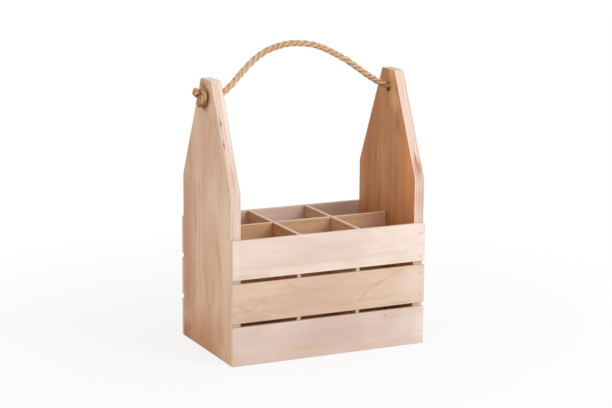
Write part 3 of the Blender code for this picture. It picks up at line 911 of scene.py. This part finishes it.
RIGHT_MARKS = HOLE_MARKS + ovals(
    (1, 2), "inner face",
    # Painted light on the inner face: towards the front edge, near the top and along the tapered edge
    ((-60, 225), (34, 100), 0.75, (255, 168, 108), 0.95),
    ((-12, 326), (18, 24), 0.8, (255, 190, 128), 0.95),
    ((-17, 296), (28, 16), 0.62, (255, 196, 138), 0.8, 65.5),
    # Painted shade towards the back
    ((36, 270), (36, 90), 0.6, (180, 112, 62), 0.95),
) + ovals(
    (0, 2), "front edge",
    ((122, 172), (3, 40), 0.6, (212, 170, 150), 0.5),
    ((121, 216), (9, 20), 0.75, (196, 146, 118), 0.7),
    ((121, 180), (8, 20), 0.4, (200, 158, 136), 0.8),
    ((125.1, 260), (1.1, 80), 0.6, (206, 170, 148), 0.5),
) + ovals(
    (0, 2), "edges",
    ((120, 330.5), (10, 1), 0.5, (202, 178, 158), 0.4, 0, 0.2),
) + ovals(
    (0, 2), "front edge",
    ((117.1, 175), (0.6, 36), 0.45, (186, 142, 112)),
    ((125.8, 176), (1, 40), 0.8, (176, 134, 114), 0.5),
    ((120, 227), (2.2, 15), 0.6, (192, 130, 106), 0.8),
    ((120.5, 226), (0.8, 11), 0.85, (146, 84, 62)),
    ((122.2, 216), (1, 7), 0.8, (146, 86, 62)),
    ((125, 218), (1.2, 12), 0.6, (176, 116, 92), 0.7),
)


def oval_share(finish, axes, oval):
    along, across = [axes[axis] - middle * MARK_UNIT for axis, middle in zip(oval.axes, oval.centre)]
    cosine, sine = math.cos(math.radians(oval.tilt)), math.sin(math.radians(oval.tilt))
    ahead, aside = along * cosine + across * sine, across * cosine - along * sine
    length, width = oval.size
    flat = finish.combine(ahead / (length * MARK_UNIT), aside / (width * MARK_UNIT), 0)
    distance = finish.length(flat) + (finish.noise(flat, 1.7, 3, 0.6) - 0.5) * oval.ragged
    return distance.spread(1 - oval.soft, 1, 1, 0, smooth=True)


def line_share(finish, axes, line):
    along, across = axes[0], axes[2]
    places, heights = np.array(line.points).T * MARK_UNIT
    width = line.width * MARK_UNIT
    low, high = heights.min() - LINE_MARGIN, heights.max() + LINE_MARGIN
    share = along.spread(places[0], places[-1])
    curved = finish.add("ShaderNodeFloatCurve", 0, {"Value": share})
    mapping = curved.socket.node.mapping
    points = mapping.curves[0].points
    spots = list(zip((places - places[0]) / (places[-1] - places[0]), (heights - low) / (high - low)))
    points[0].location, points[1].location = spots[0], spots[-1]
    for spot in spots[1:-1]:
        points.new(*spot)
    mapping.update()
    wobble = finish.noise(finish.combine(along, across, 0), 160, 2) - 0.5
    off = across - curved.spread(0, 1, low, high) + wobble * LINE_WOBBLE
    above = off.spread(0, width * LINE_FADE, 1, 0, smooth=True)
    below = off.spread(-width, 0, 0, 1, smooth=True)
    ends = share.spread(0, 0.08) * share.spread(0.92, 1, 1, 0)
    broken = finish.noise(finish.combine(along, across, 7), 70, 2).spread(0.3, 0.6, 0.45, 1)
    return above * below * (ends * broken)


def wood(name, seed, grain, depth, tones, rings, figure, grainy=0.24, marks=(), plies=None, inner=None):
    """Bare sanded wood. grain and depth are the axes that the fibres and the board's thickness run along, and
    tones holds the pale, main and dark colours. plies gives the number of layers on the edges, the board's
    middle and its thickness. inner gives the tones of the face that looks along +depth (1) or -depth (-1)."""
    finish = Finish(name)
    axes = finish.split(finish.coordinates("Object"))
    normal = finish.split(finish.coordinates("Normal"))
    facing = [abs(part) for part in normal]
    along, across, deep = axes[grain], axes[3 - grain - depth], axes[depth]
    place = finish.combine(along + seed * 1.37, across + seed * 0.71, deep + seed * 2.13)

    def grained(lengthwise, sideways, *settings):
        """Noise with so many patches to the metre along the grain and across it."""
        inputs = {0: place, 1: (lengthwise, sideways, sideways)}
        spot = finish.add("ShaderNodeVectorMath", 0, inputs, operation="MULTIPLY")
        return finish.noise(spot, 1, *settings)

    mottle = grained(7, 20, 3, 0.5)
    blotch = grained(26, 60, 3, 0.55)
    streak = grained(3.6, 150, 3, 0.6)
    fibre = grained(22, 760, 3, 0.6)
    ring = finish.math("FRACT", grained(3.4, 19, 2, 0.4, 0.4) * rings + grained(20, 90, 1) * 0.22)
    seen = grained(9, 24, 1).spread(0.38, 0.62, 0.15, 1, smooth=True)
    late = ring.spread(0.55, 0.93, smooth=True) * ring.spread(0.93, 1, 1, 0) * seen * figure
    fleck = grained(230, 3000, 1).spread(0.62, 0.76)
    darker = (
        blotch.spread(0.42, 0.75, 0, 0.2), streak.spread(0.4, 0.72, 0, grainy), late,
        fibre.spread(0.36, 0.72, 0, 0.17), fleck * 0.22,
    )

    def toned(pale, main, dark):
        shade = finish.mix(mottle.spread(0.32, 0.68), main, pale)
        for share in darker:
            shade = finish.mix(share, shade, dark)
        return shade

    shade = toned(*tones)
    faces = {}
    if inner:
        way, inner_tones = inner
        faces["inner face"] = (normal[depth] * way).spread(0.5, 0.8)
        faces["outer face"] = (normal[depth] * -way).spread(0.5, 0.8)
        shade = finish.mix(faces["inner face"], shade, toned(*inner_tones))

    relief = fibre * 0.5 - fleck * 0.35 - late * 0.3
    grit = finish.noise(place, 1500, 2, 0.6)
    if plies:
        count, centre, thickness = plies
        on_edge = facing[depth].spread(0.55, 0.8, 1, 0)
        faces["edges"] = on_edge
        faces["front edge"] = on_edge * axes[1].spread(0, -0.002)
        drift = (grained(14, 30, 2) - 0.5) * 0.5
        layer = (deep - (centre - thickness / 2)) * (count / thickness) + drift
        layer = layer + finish.math("SINE", layer * 1.9 + seed) * 0.28
        number = finish.math("FLOOR", layer)
        end_on = finish.math("GREATER_THAN", facing[grain], 0.75)
        crossed = abs(number % 2 - end_on)
        within = finish.math("FRACT", layer)
        seam = within.spread(0, 0.14, 1, 0) + within.spread(0.86, 1)
        patchy = finish.noise(finish.combine(along * 30, across * 30, number + seed), 1, 2)
        edge = finish.mix(fibre.spread(0.35, 0.75, 0, 0.35), PLY_PALE, PLY_MAIN)
        end_grain = finish.mix(grit.spread(0.35, 0.7), PLY_MAIN, PLY_DARK)
        edge = finish.mix(crossed * patchy.spread(0.3, 0.7, 0.2, 0.8), edge, end_grain)
        edge = finish.mix(seam * patchy.spread(0.3, 0.7, 0.05, 0.4), edge, GLUE)
        edge = finish.mix(end_on * 0.65, edge, END_PALE)
        shade = finish.mix(on_edge, shade, edge)
        relief = relief + (grit * crossed - seam * 0.6) * on_edge
    else:
        end_grain = finish.mix(grit.spread(0.35, 0.7), END_GRAIN_PALE, END_GRAIN_DARK)
        shade = finish.mix(facing[grain].spread(0.6, 0.85), shade, end_grain)

    flattest = finish.math("MAXIMUM", finish.math("MAXIMUM", facing[0], facing[1]), facing[2])
    # The rounded edges are paler, in blotches
    pale_edges = flattest.spread(0.93, 0.8) * blotch.spread(0.35, 0.65, 0.25, 0.75)
    shade = finish.mix(pale_edges, shade, EDGE_PALE)

    for mark in marks:
        if isinstance(mark, Line):
            shade = finish.mix(line_share(finish, axes, mark) * mark.strength, shade, LINE_BROWN)
            continue
        share = oval_share(finish, axes, mark) * mark.strength
        if mark.face:
            share = share * faces[mark.face]
        shade = finish.mix(share, shade, mark.shade)

    finish.surface(shade, (fibre + late).spread(0.2, 1.2, 0.5, 0.68), specular=0.35)
    finish.bump(relief, 0.35, 0.00015)
    return finish.material


def rope_fibre():
    """Natural fibre: fine threads that run along each strand, with paler and browner ones among them, and
    painted shade in its grooves, underneath, in the holes and round the knots.
    """
    finish = Finish("rope_fibre")
    along, around, _ = finish.split(finish.add("ShaderNodeUVMap", "UV", uv_map="fibres"))
    place = finish.coordinates("Object")
    side, _, height = finish.split(place)
    off_middle = abs(side)
    twisted = around + along * (1 / (YARN_TURN * YARNS))
    fine = finish.noise(finish.combine(along * 130, twisted * 60, 0), 1, 3, 0.6)
    tuft = finish.noise(finish.combine(along * 240, twisted * 14, 3), 1, 2)
    groove = finish.math("COSINE", twisted * (2 * math.pi * YARNS))
    facing = finish.math("COSINE", around * (2 * math.pi))
    # Masks for painted shade: the rope's underside, its stretch in the holes, and the knots' coils against
    # the panels
    underside_shade = finish.split(finish.coordinates("Normal"))[2].spread(0.3, -0.5)
    knotted = off_middle.spread(HALF_LENGTH, HALF_LENGTH + 0.003)
    hole_shade = off_middle.spread(0.106, 0.1165) - knotted
    panel_contact_shade = knotted * off_middle.spread(HALF_LENGTH + 0.0062, HALF_LENGTH + 0.003)
    shade = finish.mix(fine.spread(0.32, 0.68), (200, 157, 114), (248, 220, 188))
    for share, tint in (
        (tuft.spread(0.5, 0.8, 0, 0.6), (186, 134, 86)),
        # Painted shade in the yarns' grooves
        (groove.spread(-1, -0.2, 0.3, 0), (156, 104, 62)),
        (finish.noise(place, 90, 2).spread(0.45, 0.75, 0, 0.35), (214, 164, 110)),
        # Painted shade in the crevices between strands
        (facing.spread(0.7, -0.15, 0, 0.55), (164, 108, 60)),
        # The knots warmer: partly their own browner colour, partly painted warm reflected light
        (knotted * 0.36, (214, 146, 78)),
        # Pale left of the arch; painted shade on the underside towards the right hole, in both holes and
        # where the knots press against the panels
        (side.spread(-0.045, -0.085) * side.spread(-0.12, -0.108) * 0.35, (255, 226, 190)),
        (side.spread(0.075, 0.11) * underside_shade * 0.75, (132, 80, 42)),
        (hole_shade * (underside_shade * 0.7), (150, 98, 48)),
        (panel_contact_shade * 0.5, (128, 66, 26)),
        # Painted shade in the crease behind the cut end, and painted shade on the knots' undersides, darker
        # towards the bottom
        (abs(along - 0.0066).spread(0.0028, 0.001) * 0.7, (112, 62, 24)),
        (knotted * height.spread(0.2975, 0.3075, 0.8, 0, smooth=True), (132, 78, 44)),
    ):
        shade = finish.mix(share, shade, tint)
    finish.surface(shade, 0.85, specular=0.2)
    finish.bump(fine * 0.8 + groove * 0.25, 0.9, 0.00035)
    return finish.material


def brad_steel():
    finish = Finish("brad_steel")
    grime = finish.noise(finish.coordinates("Object"), 900, 3, 0.6)
    shade = finish.mix(grime.spread(0.35, 0.65), (136, 110, 88), (176, 148, 122))
    finish.surface(shade, grime.spread(0.3, 0.7, 0.42, 0.66), metallic=0.45)
    finish.bump(grime, 0.3, 0.00005)
    return finish.material


def wood_filler(name, dark, pale):
    finish = Finish(name)
    grain = finish.noise(finish.coordinates("Object"), 2600, 3, 0.65)
    finish.surface(finish.mix(grain.spread(0.35, 0.65), dark, pale), 0.8)
    finish.bump(grain, 0.4, 0.00004)
    return finish.material


def wood_finishes():
    left, right = [(7, side * PANEL_CENTRE_X, PANEL_THICKNESS) for side in (-1, 1)]
    middle, left_cell, right_cell = [(3, side * CELL_PITCH / 2, DIVIDER_THICKNESS) for side in (0, -1, 1)]
    # What wood() gets after the seed: grain, depth, tones, rings, figure, grainy, marks, plies and inner
    rows = {
        "front_slat_upper": (0, 1, UPPER_TONES, 6, 0.3, 0.17, UPPER_MARKS),
        "front_slat_middle": (0, 1, MIDDLE_TONES, 3, 0.22, 0.24, MIDDLE_MARKS),
        "front_slat_lower": (0, 1, LOWER_TONES, 5, 0.22, 0.18, LOWER_MARKS),
        "back_slat_upper": (0, 1, UPPER_TONES, 6, 0.35),
        "back_slat_middle": (0, 1, LOWER_TONES, 7, 0.35),
        "back_slat_lower": (0, 1, MIDDLE_TONES, 6, 0.4),
        "end_panel_left": (2, 0, PANEL_TONES, 7, 0.34, 0.36, LEFT_MARKS, left, (1, INNER_SHADE_TONES)),
        "end_panel_right": (2, 0, PANEL_TONES, 7, 0.45, 0.36, RIGHT_MARKS, right, (-1, INNER_SHADE_TONES)),
        "bottom_board": (0, 2, GRID_TONES, 6, 0.35, 0.24, (), (5, BOARD_THICKNESS / 2, BOARD_THICKNESS)),
        "long_divider": (0, 1, GRID_TONES, 6, 0.35, 0.24, (), middle),
        "cross_divider_left": (1, 0, GRID_TONES, 6, 0.35, 0.24, (), left_cell),
        "cross_divider_right": (1, 0, GRID_TONES, 6, 0.35, 0.24, (), right_cell),
    }
    return {node: wood(node, seed, *row) for seed, (node, row) in enumerate(rows.items(), 1)}


def add_stage():
    shape = bmesh.new()
    bmesh.ops.create_circle(shape, cap_ends=True, segments=96, radius=FLOOR_RADIUS)
    mesh = mesh_of(shape, "floor")
    floor = add_object("floor", mesh)
    floor.location = (0, 0, -FLOOR_DROP)
    finish = Finish("floor")
    finish.surface(FLOOR_GREY, 0.9, specular=0)
    distance = finish.length(finish.coordinates("Object"))
    white = distance.spread(*GLOW_SPAN, FLOOR_GLOW, 1, smooth=True)
    share = white * finish.add("ShaderNodeLightPath", "Is Camera Ray")
    glow = finish.add("ShaderNodeEmission", 0, {"Color": WHITE, "Strength": 1})
    lit = Value(finish, finish.shader.outputs[0])
    blend = finish.add("ShaderNodeMixShader", 0, {0: share, 1: lit, 2: glow})
    finish.put(finish.tree.nodes["Material Output"], {"Surface": blend})
    mesh.materials.append(finish.material)


def add_lights():
    world = bpy.data.worlds.new("studio")
    bpy.context.scene.world = world
    world.use_nodes = True
    sky = Nodes(world.node_tree)
    rays = [sky.add("ShaderNodeLightPath", ray) for ray in ("Is Camera Ray", "Is Transmission Ray")]
    strength = sky.math("MAXIMUM", *rays).spread(0, 1, BACKDROP_LIGHT, 1)
    sky.put(world.node_tree.nodes["Background"], {"Strength": strength, "Color": WHITE})

    data = bpy.data.lights.new("key", "AREA")
    data.shape = "RECTANGLE"
    data.size = KEY_SIZE
    data.size_y = KEY_SIZE
    data.energy = KEY_POWER
    key = add_object("key", data)
    key.location = KEY_PLACE
    key.rotation_euler = (KEY_AIM - KEY_PLACE).to_track_quat("-Z", "Y").to_euler()


add_camera()
build_rope(rope_fibre())
build_boards(wood_finishes())
build_brads(brad_steel(), {
    "panel": wood_filler("filler_panel", (214, 160, 118), (232, 184, 144)),
    "slat": wood_filler("filler_slat", (222, 194, 170), (234, 208, 186)),
    "thin": wood_filler("filler_thin", (206, 172, 152), (224, 194, 176)),
})
add_stage()
add_lights()

bpy.context.scene.view_settings.view_transform = "Standard"
